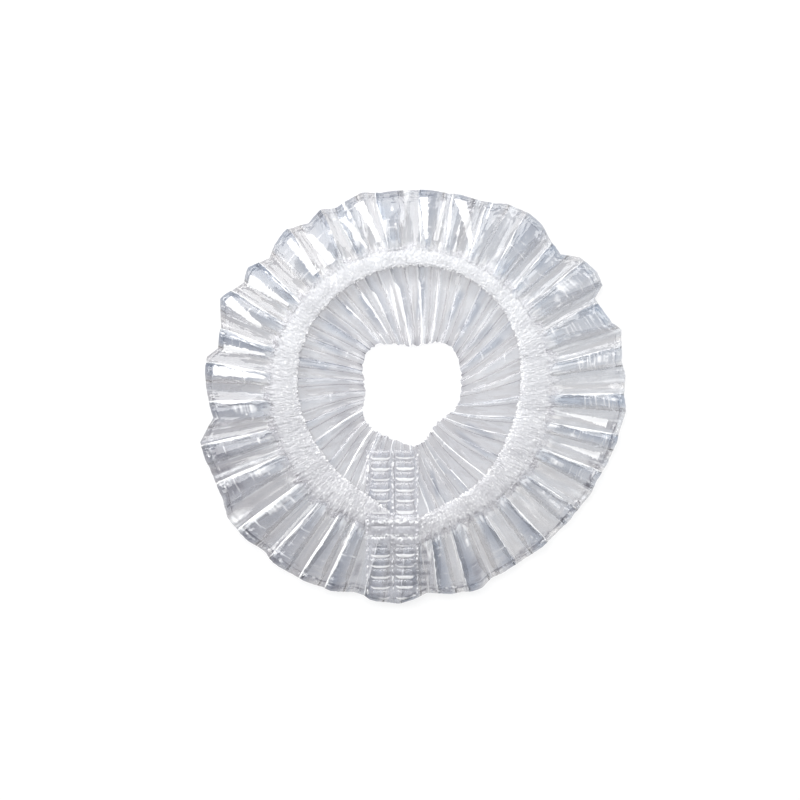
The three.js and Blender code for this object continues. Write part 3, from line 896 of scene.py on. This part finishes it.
def crown_strip(pleat, radius):
    number = pleat % PLEATS
    shown = 1 - smooth((radius - COVER_RADIUS) / COVER_SPAN)
    height = STRIP_HEIGHT[(number + 5) % PLEATS] * (0.25 + 0.75 * shown)
    half = 0.46 * math.radians(STRIPS[number][1]) * np.ones_like(radius)
    centre = strip_centre(pleat)
    twist = CROWN_TWIST * (0.75 - 0.25 * math.sin(centre))
    return SimpleNamespace(
        centre=centre + twist * inward_share(radius) ** 1.3, half=half, top=1.2 * height, under=0.5 * height,
        bulge=0.2 * height, tilt=0.6 * STRIP_TILT[(number + 3) % PLEATS] * shown,
        fold=0.4 * shown / radius, flank=0.34 * half, rise=0.4 * height)


def crown_section(radius):
    """Angle, lift and band of the film all round."""
    tuck = 0.3 * (1 - smooth((radius - COVER_RADIUS) / COVER_SPAN))
    knots = []
    for pleat in range(PLEATS):
        strip = crown_strip(pleat, radius)
        add_strip(knots, strip)
        add_trough(knots, strip, crown_strip(pleat + 1, radius), tuck, 0.2)
    first = knots[0]
    knots.append((first[0] + 2 * math.pi, first[1], first[2]))
    return [values[:, :-1] for values in smooth_section(knots, radius.shape, 2)]


def crown_light(pleat, strip, angle, radius):
    """Tone and gleam on top of one strip of the crown: a line of painted highlight, wide and wedge-shaped on
    the side of the window and absent from some strips, and painted blue reflection and shade beside it."""
    choice = np.random.default_rng(300 + pleat)
    centre = strip_centre(pleat)
    # How near the strip is to the sides of most painted highlight, of painted shade and of fewest painted
    # highlights
    bright = near_clock(centre, CROWN_BRIGHT_CLOCK, 26)
    painted_shade = near_clock(centre, CROWN_SHADE_CLOCK, 32)
    plain = near_clock(centre, CROWN_PLAIN_CLOCK, 24)
    low = max(0, -math.sin(centre))
    inward = inward_share(radius)
    wedge = smooth((inward - 0.17) / 0.1) * (1 - 0.85 * smooth(1.15 * inward))
    border = 1 - smooth((inward - 0.1) / 0.1)
    along = radius[:, None]
    width = choice.uniform(-0.4, 0.8) + 0.45 * low - 0.9 * painted_shade - 1.1 * plain
    width = width + (bright * (choice.uniform(0.8, 2.8) * wedge - 2.5 * border))[:, None]
    width = width + 0.25 * noise(along / 4, pleat, 46)
    fade = choice.uniform(0, 0.5) * (1 - painted_shade) * (1 - plain) + 0.4 * bright
    line = edge_line(strip, angle, radius, width, fade, choice.uniform(1, 2.5))
    inset = across_pleat(strip, angle)
    # Painted highlight on creases across the strip
    for start in choice.uniform(42, 70, 2):
        crease = 0.5 + 0.1 * noise(angle * 60, pleat, 49) - np.abs(along - start) / 3
        line = np.maximum(line, np.where(inset < choice.uniform(0.5, 1), crease, 0))
    # Painted blue reflection and shade, deepest beside the widest painted highlights
    depth = choice.uniform(0.1, 0.8) + 0.25 * painted_shade + 0.25 * low + 0.5 * (bright * wedge)[:, None]
    depth = depth + 0.3 * noise(along / 9, 3.1 * pleat, 48)
    return depth * np.clip(1.05 - inset, 0, 1), line


def crown_look(angle, lift, band, radius, at_hole):
    """The film's attributes."""
    along = radius[:, None]
    fine = streaks(angle * along / RIM_RADIUS, along, 52)
    broad = noise(angle * 30, along / 30, 55)
    bright = near_clock(angle, CROWN_BRIGHT_CLOCK, 26)
    inside = smooth((MOUTH_RING[0] - along - 3) / 8) * smooth((along - HOLE_RING[0]) / 14)
    seen = 1 - 0.4 * smooth((along - COVER_RADIUS) / COVER_SPAN)
    outer = smooth((along - 46) / 18)
    # Painted shade: greyer on its own side of the crown and less on the lit side, with a little more on the
    # lower side
    painted_shade = 0.2 * near_clock(angle, CROWN_SHADE_CLOCK - 22, 42) * (1 - 0.7 * outer)
    painted_shade = painted_shade - 0.2 * near_clock(angle, CROWN_BRIGHT_CLOCK, 75) * (0.3 + 0.7 * outer)
    painted_shade = (painted_shade + 0.1 * np.clip(-np.sin(angle), 0, 1)) * inside

    trough = 1 - smooth(band / TROUGH_BAND)
    # Threads of painted highlight in the troughs, brighter on the lit side and fainter on the plain side
    thread = thin_lines(angle, along, 59) - 0.04 + 0.3 * bright * inside
    thread = thread - 0.08 * near_clock(angle, CROWN_PLAIN_CLOCK, 24)
    # In the troughs: painted blue reflection and soft painted highlight with noise, and a grey over the crown
    # that is less where the skirt covers it, with painted shade
    tone = (0.16 + 0.12 * fine + 0.2 * broad) * trough
    gleam = np.maximum(0.29 + 0.16 * fine, thread) * trough
    grey = (0.46 - 0.12 * broad) * trough * seen + painted_shade
    hidden = (band > TROUGH_BAND) & (band < TOP_BAND)
    for pleat in range(PLEATS):
        strip = crown_strip(pleat, radius)
        on_top, beneath = over_strip(strip, angle, band)
        strip_tone, strip_gleam = crown_light(pleat, strip, angle, radius)
        tone = np.where(on_top, 0.1 + strip_tone + 0.12 * fine, tone)
        gleam = np.where(on_top, np.maximum(strip_gleam, 0.29 + 0.16 * fine), gleam)
        # Painted shade on the strips, deepest beside the wide painted highlights on the lit side
        grey = np.where(on_top, 0.36 * seen + painted_shade + 0.35 * bright * inside * strip_tone, grey)
        grey = np.where(beneath, 0, grey)
        hidden = hidden | beneath

    # Painted blue reflections, crossed by ticks of painted highlight; the film is also greyer at the hole
    patches = np.where(hidden, 0, soft_patches(BLUE_REFLECTION_PATCHES, angle, along, along, 0, 6))
    ticks = np.clip(cross_lines(angle, along, 72) - 0.35, 0, 1)
    tone = tone + 0.6 * patches
    gleam = gleam + patches * (0.5 * ticks - 0.1)
    grey = grey + 0.08 * patches + 0.16 * at_hole * (1 + noise(angle * 9, 0, 60))
    return {"tone": np.clip(tone, 0, 1), "gleam": gleam, "shade": np.clip(grey, 0, 1),
            "sheen": flat_sheen(angle, radius, lift)}


def crown_film():
    share = np.concatenate([np.linspace(0, 0.5, CROWN_FINE_ROWS), np.linspace(0.52, 1, CROWN_COARSE_ROWS)])
    radius = HOLE_RING[0] + (RIM_RADIUS - RIM_CURL - HOLE_RING[0]) * share
    angle, lift, band = crown_section(radius)
    at_hole = 1 - smooth((radius - HOLE_RING[0]) / 5)[:, None]
    look = crown_look(angle, lift, band, radius, at_hole)
    floor = CROWN_FLOOR + (RIM_BOTTOM - CROWN_FLOOR) * share + 1.2 * (1 - smooth(share / 0.12))
    z = floor[:, None] + lift + 0.15 * noise(angle * 40, radius[:, None] / 6, 13)
    r = radius[:, None] + 0.8 * at_hole * noise(angle * 26, 0, 61)
    return grid_piece("crown_pleats", place(r, angle, z), CROWN_FILM, closed=True, attributes=look)


# The hem: film gathered over the elastic into fine puckers. Each panel's hem runs on inside the next
# one's, so that the mouth stays closed all round as it widens.

def panel_span(index):
    """Angles between which a panel's hem lies: the middles of the troughs beside its strips."""
    ends = []
    for pleat in (FIRST_STRIP[index], FIRST_STRIP[index + 1]):
        before, after = strip_centre(int(pleat) - 1), strip_centre(int(pleat))
        ends.append(0.5 * (before + after))
    return ends


def hem_angles(index, columns):
    """Angles along a panel's hem, and how far each is tucked into the next panel's, from 0 to 1."""
    start, end = panel_span(index)
    angle = np.linspace(start, end + HEM_TUCK, columns)
    return angle, smooth((angle - end) / HEM_TUCK * 4)


def hem_look(radius, angle, tucked, row, warp, inner):
    """The hem's attributes: white grains and two bands of painted highlight in a cloudy film, which clears
    outwards.
    It is lighter towards one side of the cap, as painted light, and darker with painted shade on the other.
    """
    along = (angle * HEM_MIDDLE)[None, :]
    flecks = noise(along / 0.6 + 2 * warp, row / 1.6, 23)
    speckle = noise(along / 0.7 + warp, row / 0.8, 25)
    gathers = noise(along / 1.1 + warp, row / 1.2, 64)
    uneven = noise(along / 7, row / 9, 27)
    # Painted light: the hem is lighter towards one side of the cap
    bright = 0.5 + 0.5 * np.cos(angle - from_clock(HEM_BRIGHT_CLOCK))[None, :]
    ragged = radius + 2.4 * gathers
    under = smooth((row - 21) / 4)
    covered = smooth((radius - 78) / 3)
    shown = (1 - 0.7 * under * (1 - covered)) * (1 - 0.5 * tucked)
    veil = VEIL_MOST * (1.1 + 0.2 * uneven) * (1 - smooth((ragged - 86) / 9)) * shown
    # Two bands of painted highlight, on the side with the most glints
    bands = sum(np.exp(-((radius - middle) / 2.2) ** 2) for middle in HEM_BANDS) - 0.5
    bands = 0.22 * bands * near_clock(angle, GLINT_CLOCK + 10, 38)[None, :]
    beads = np.clip(0.2 + noise(along / 0.9, 0, 65), 0, 1)
    # The white: painted light on the lighter side, white grains, a bead line at the inner edge and the painted
    # highlight bands
    frost_and_highlight = 0.14 + 0.12 * bright + 0.12 * uneven - 0.5 * smooth((ragged - 83) / 10)
    frost_and_highlight = frost_and_highlight + (0.1 + 0.9 * beads) * inner + bands
    frost_and_highlight = (frost_and_highlight + (0.2 * flecks + 0.26 * speckle) * (1.3 - 0.5 * bright)) * shown
    # Its tone is painted shade, on the side away from the lighter one
    return {"gleam": CLEAR_GLEAM + WHITE_GLEAM * np.clip(frost_and_highlight, 0, 1), "sheen": HEM_SHEEN, "veil": veil,
            "tone": np.clip(1 - bright + 0.15 * gathers, 0, 1)}


def hem_panel(index):
    line = spline(HEM_SECTION, HEM_SAMPLES)
    radius, height = line[:, :1], line[:, 1:]
    outward_r, outward_z = outward_of(line[:, 0], line[:, 1])
    angle, tucked = hem_angles(index, HEM_COLUMNS)
    along = (angle * HEM_MIDDLE)[None, :]
    row = np.arange(len(line))[:, None] / 2
    warp = 1.6 * noise(row / 3, along / 5, 3)
    pucker = noise(along / 1.2 + warp, row / 1.1, 21)
    froth = noise(along / 0.65 + warp, row / 0.9, 22)
    lift = (0.14 * pucker + 0.24 * froth) * (1 - tucked) - 0.6 * tucked
    outer = smooth((radius - 87) / 5)
    inner = smooth((77 - radius) / 3)
    r = radius + outward_r * lift
    r = r + outer * 1.8 * noise(along / 2.4, 0, 24)
    r = r + outer * 1.2 * noise(along / 0.9, 0, 28)
    r = r + inner * 0.6 * noise(along / 0.9, 0, 26)
    points = place(r, angle[None, :], height + outward_z * lift)
    look = hem_look(radius, angle, tucked, row, warp, inner)
    return grid_piece(f"hem_gather_{index + 1:02d}", points, HEM_FILM, attributes=look)


def elastic_panel(index):
    line = spline(ELASTIC_SECTION, 2)
    radius, height = line[:, :1], line[:, 1:]
    angle, tucked = hem_angles(index, ELASTIC_COLUMNS)
    rib = RIB_HEIGHT * np.sin(angle * HEM_MIDDLE * 2 * math.pi / RIB_PITCH) - 0.25 * tucked
    r = radius + np.sign(radius - ELASTIC_MIDDLE) * np.minimum(rib, 0)
    z = height + np.where(height > ELASTIC_LEVEL, 1, -1) * rib
    return grid_piece(f"elastic_band_{index + 1:02d}", place_elastic(r, angle[None, :], z), ELASTIC)


# The welded seam: a strip of film with two columns of embossed cells

def weld_cells(x, y):
    """Place in a cell, from -1 to 1 across it and from 0 at its lower edge to 1, and the cell's number."""
    column = np.where(x < RAILS[1], 0, 1)
    middle = np.where(column == 0, (RAILS[0] + RAILS[1]) / 2, (RAILS[1] + RAILS[2]) / 2)
    row = np.floor(y / CELL_PITCH)
    return (x - middle) / CELL_HALF, y / CELL_PITCH - row, 2 * row + column


def weld_height(x, y):
    across, up, _ = weld_cells(x, y)
    pillow = np.clip(1 - across ** 4, 0, 1) * np.clip(1 - (2 * up - 1) ** 4, 0, 1)
    rail = sum(np.exp(-((x - middle) / 0.9) ** 2) for middle in RAILS)
    crumple = noise(x / 1.3, y / 1.3, 31)
    return 0.8 * pillow + rail * (0.4 + 0.4 * crumple) + 0.12 * crumple


def weld_light(x, y, crossing):
    """The weld's attributes: painted highlight on the lower edge of each cell and painted shade above it,
    white along the rails, and in flecks where the hem is crossed."""
    across, up, cell = weld_cells(x, y)
    inside = np.abs(across) < CELL_EDGE
    strength = noise(cell * 1.37, 0, 32)
    # Painted highlight on the lower edge of each cell, curved up at its ends, and a fainter one near its top
    smile = up - 0.22 - 0.2 * across ** 4 - 0.06 * noise(cell * 2.71, 0, 36)
    lower = 0.5 + (0.05 + 0.075 * (1 + strength) * (1 - across ** 2) - np.abs(smile)) * 2.4
    upper = 0.36 + (0.06 * strength - np.abs(up - 0.74 + 0.1 * across ** 2)) * 2
    cells = np.where(inside, np.maximum(lower, upper), 0)
    near_rail = np.max([np.exp(-((x - middle) / 1.1) ** 2) for middle in RAILS], axis=0)
    rail = 0.3 + 0.4 * (near_rail * (0.55 + noise(x / 0.8, y / 1.7, 33)) - 0.3)
    flecks = 0.4 + 0.08 * noise(x / 0.9, y / 1.2, 34) + 0.06 * noise(x / 6, y / 1.6, 67)
    wave = 1.2 * noise(x / 3, 0, 68)
    spots = 1 + noise(x / 0.8, y / 0.8, 69)
    for edge in HEM_EDGES:
        flecks = flecks + 0.16 * np.exp(-((y - edge - wave) / 1.5) ** 2) * spots
    gleam = np.maximum(cells, rail) * (1 - crossing) + flecks * crossing
    # Painted shade just above each cell's lower edge
    above = smooth((smile - 0.05) / 0.1) * (1 - smooth((smile - 0.15) / 0.45)) * inside
    tone = 0.14 + 0.42 * above * (1 - crossing) + 0.15 * noise(x / 2, y / 2, 35)
    return {"tone": np.clip(tone, 0, 1), "gleam": gleam, "shade": 0.05 * above, "sheen": WELD_SHEEN,
            "veil": 0.35 * crossing}


def ladder_grid(start, end):
    """Places across the weld, by places along it from start to end."""
    return np.meshgrid(np.linspace(-WELD_WIDTH / 2, WELD_WIDTH / 2, LADDER_COLUMNS),
                       np.linspace(start, end, LADDER_ROWS))


def crown_weld():
    x, y = ladder_grid(*CROWN_LADDER_ENDS)
    covered = 1 - smooth((y - BEND_Y) / BEND_SPAN)
    world_x = x + WELD_OFFSET + BEND_SHIFT * covered
    points = np.stack([world_x, y, CROWN_LADDER_HEIGHT + weld_height(x, y)], axis=-1)
    look = weld_light(x, y, 0 * x)
    across, up, _ = weld_cells(x, y)
    # Where the skirt covers the ladder, its painted highlights fade and its rungs carry painted shade
    rung = smooth(1.3 - 6 * np.abs(up - 0.5)) * (np.abs(across) < CELL_EDGE)
    look["gleam"] = look["gleam"] * (1 - 0.7 * covered)
    look["shade"] = look["shade"] + 0.75 * covered * rung
    return grid_piece("seam_ladder_crown", points, WELD_FILM, attributes=look)


def skirt_weld():
    x, share = ladder_grid(0, 1)
    world_x = x + WELD_OFFSET
    edge = outline(np.arctan2(LADDER_RIM_Y, world_x)) - LADDER_INSET
    rim = -np.sqrt(edge ** 2 - world_x ** 2)
    y = rim + (SKIRT_LADDER_END - rim) * share
    base = np.interp(y - rim, *np.transpose(SKIRT_LADDER_HEIGHTS))
    crossing = smooth((y - HEM_CROSSING[0]) / 4) * (1 - smooth((y - HEM_CROSSING[1]) / 4))
    points = np.stack([world_x, y, base + weld_height(x, y)], axis=-1)
    return grid_piece("seam_ladder_skirt", points, WELD_FILM, attributes=weld_light(x, y, crossing))


# Putting it together


def dress(piece, body, node):
    """Puts a piece on a body in place of a node; a panel's skirt film and the skirt's ladder are put on no
    body, but kept where they are with their transform baked.
    """
    if body == "crown" or not piece.name.startswith(("skirt_film", "seam_ladder")):
        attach(piece, body)
    else:
        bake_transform(piece)
    if node:
        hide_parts(node)


def build_cap():
    crown = crown_film()
    dress(crown, "crown", "crown_film")
    ladder = crown_weld()
    dress(ladder, "crown", "seam_weld_crown")
    rows = skirt_rows()
    for index in range(PANELS):
        number = f"{index + 1:02d}"
        body = f"panel_{number}"
        film = skirt_panel(index, rows)
        hem = hem_panel(index)
        dress(hem, body, None)
        dress(film, body, f"pleat_panel_{number}")
        dress(elastic_panel(index), body, f"elastic_{number}")
    ladder = skirt_weld()
    dress(ladder, "panel_01", "seam_weld_skirt")


# Stage

def floor_material():
    """White paint, which glows where it is seen directly, in a gloss or through the film."""
    material, tree = new_material("floor_white")
    path = tree.nodes.new("ShaderNodeLightPath").outputs
    seen = combined(tree, "ADD", path["Is Camera Ray"], path["Is Glossy Ray"])
    seen = combined(tree, "ADD", seen, path["Is Transmission Ray"], use_clamp=True)
    share = combined(tree, "MULTIPLY", seen, FLOOR_GLOW_SHARE)
    paint = add_node(tree, "BsdfDiffuse", "BSDF", {"Color": FLOOR_PAINT})
    glow = add_node(tree, "Emission", "Emission", {"Strength": FLOOR_GLOW})
    use_surface(tree, blended(tree, share, paint, glow))
    return material


def build_floor():
    mesh = bpy.data.meshes.new("floor")
    corners = [(x * FLOOR_HALF, y * FLOOR_HALF, 0) for x, y in ((-1, -1), (1, -1), (1, 1), (-1, 1))]
    mesh.from_pydata(corners, [], [(0, 1, 2, 3)])
    mesh.materials.append(floor_material())
    floor = bpy.data.objects.new("floor", mesh)
    floor.location.z = -FLOOR_DROP
    bpy.context.scene.collection.objects.link(floor)


def add_softbox(name, clock, zenith, distance, size, brightness, colour):
    """A rectangle of light towards a clock angle and away from straight up, facing the cap."""
    lamp = bpy.data.lights.new(name, "AREA")
    lamp.shape = "RECTANGLE"
    lamp.size, lamp.size_y = size
    lamp.energy = brightness * math.pi * size[0] * size[1]
    lamp.color = colour
    box = bpy.data.objects.new(name, lamp)
    out = distance * math.sin(math.radians(zenith))
    box.location = (out * math.sin(math.radians(clock)), out * math.cos(math.radians(clock)),
                    distance * math.cos(math.radians(zenith)))
    box.rotation_euler = (-box.location).to_track_quat("-Z", "Y").to_euler()
    bpy.context.scene.collection.objects.link(box)


def build_lights():
    """The softboxes, and a white studio that is darker above and a little darker behind."""
    for softbox in SOFTBOXES:
        add_softbox(*softbox)
    world = bpy.data.worlds.new("studio")
    bpy.context.scene.world = world
    world.use_nodes = True
    tree = world.node_tree
    direction = add_node(tree, "TexCoord", "Generated", {})
    parts = add_node(tree, "SeparateXYZ", "Z", {"Vector": direction}).node.outputs
    level = mapped(tree, parts["Z"], 0.0, 0.6, 1.0, 0.2)
    side = mapped(tree, parts["Y"], -1.0, 1.0, 0.75, 1.0)
    background = tree.nodes["Background"].inputs
    background["Color"].default_value = (1, 1, 1, 1)
    tree.links.new(combined(tree, "MULTIPLY", level, side), background["Strength"])


def build_camera():
    camera = bpy.data.cameras.new("camera")
    camera.sensor_width = SENSOR
    camera.lens = SENSOR * CAMERA_DISTANCE / (FRAME_PIXELS * MM_PER_PIXEL)
    body = bpy.data.objects.new("camera", camera)
    x = (FRAME_PIXELS / 2 - CAP_PIXEL[0]) * MM_PER_PIXEL
    y = -(FRAME_PIXELS / 2 - CAP_PIXEL[1]) * MM_PER_PIXEL
    body.location = (x * MM, y * MM, CAMERA_DISTANCE * MM)
    bpy.context.scene.collection.objects.link(body)
    bpy.context.scene.camera = body


build_camera()
build_floor()
build_cap()
build_lights()
bpy.context.scene.view_settings.view_transform = "Standard"
